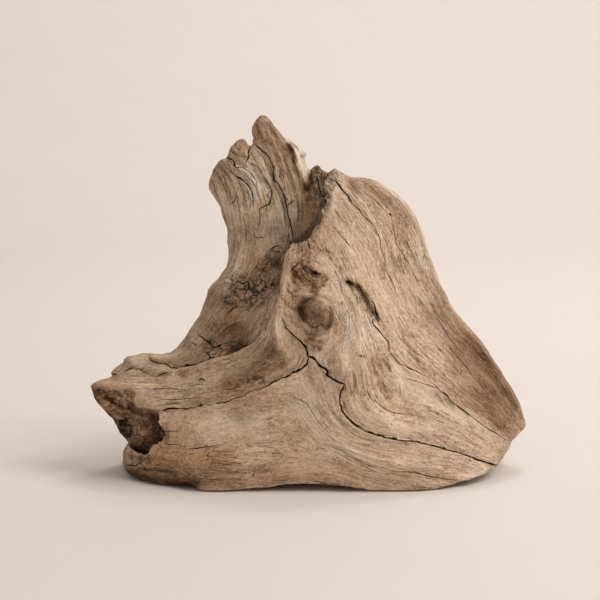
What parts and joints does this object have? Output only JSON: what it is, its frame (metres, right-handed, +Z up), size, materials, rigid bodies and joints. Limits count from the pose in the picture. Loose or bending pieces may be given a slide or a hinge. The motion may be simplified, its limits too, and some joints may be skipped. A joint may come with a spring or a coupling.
{
  "type": "dry wood piece",
  "caption": "Weathered lump of old root wood standing on its base: an upright split prong, a broad knotted plate and a broken root arm with a torn end.",
  "frame": {"origin": "middle of the bounding box in X and Y, on the floor that the two feet stand on", "axes": "+Z up, +X to the right seen from the front with the broken root arm at -X and the plate at +X, +Y to the back"},
  "size_m": [0.3006, 0.123, 0.2443],
  "materials": {
    "horn_wood": "weathered grey-brown, dry and dull",
    "fan_wood": "weathered tan with grey patches, dry and dull",
    "arm_wood": "weathered tan-brown, torn and dark at the broken end",
    "slab_wood": "weathered tan, dry and dull"
  },
  "bodies": {
    "root": {"horn": "horn_wood", "fan": "fan_wood", "root_arm": "arm_wood", "lower_slab": "slab_wood"}
  },
  "joints": []
}
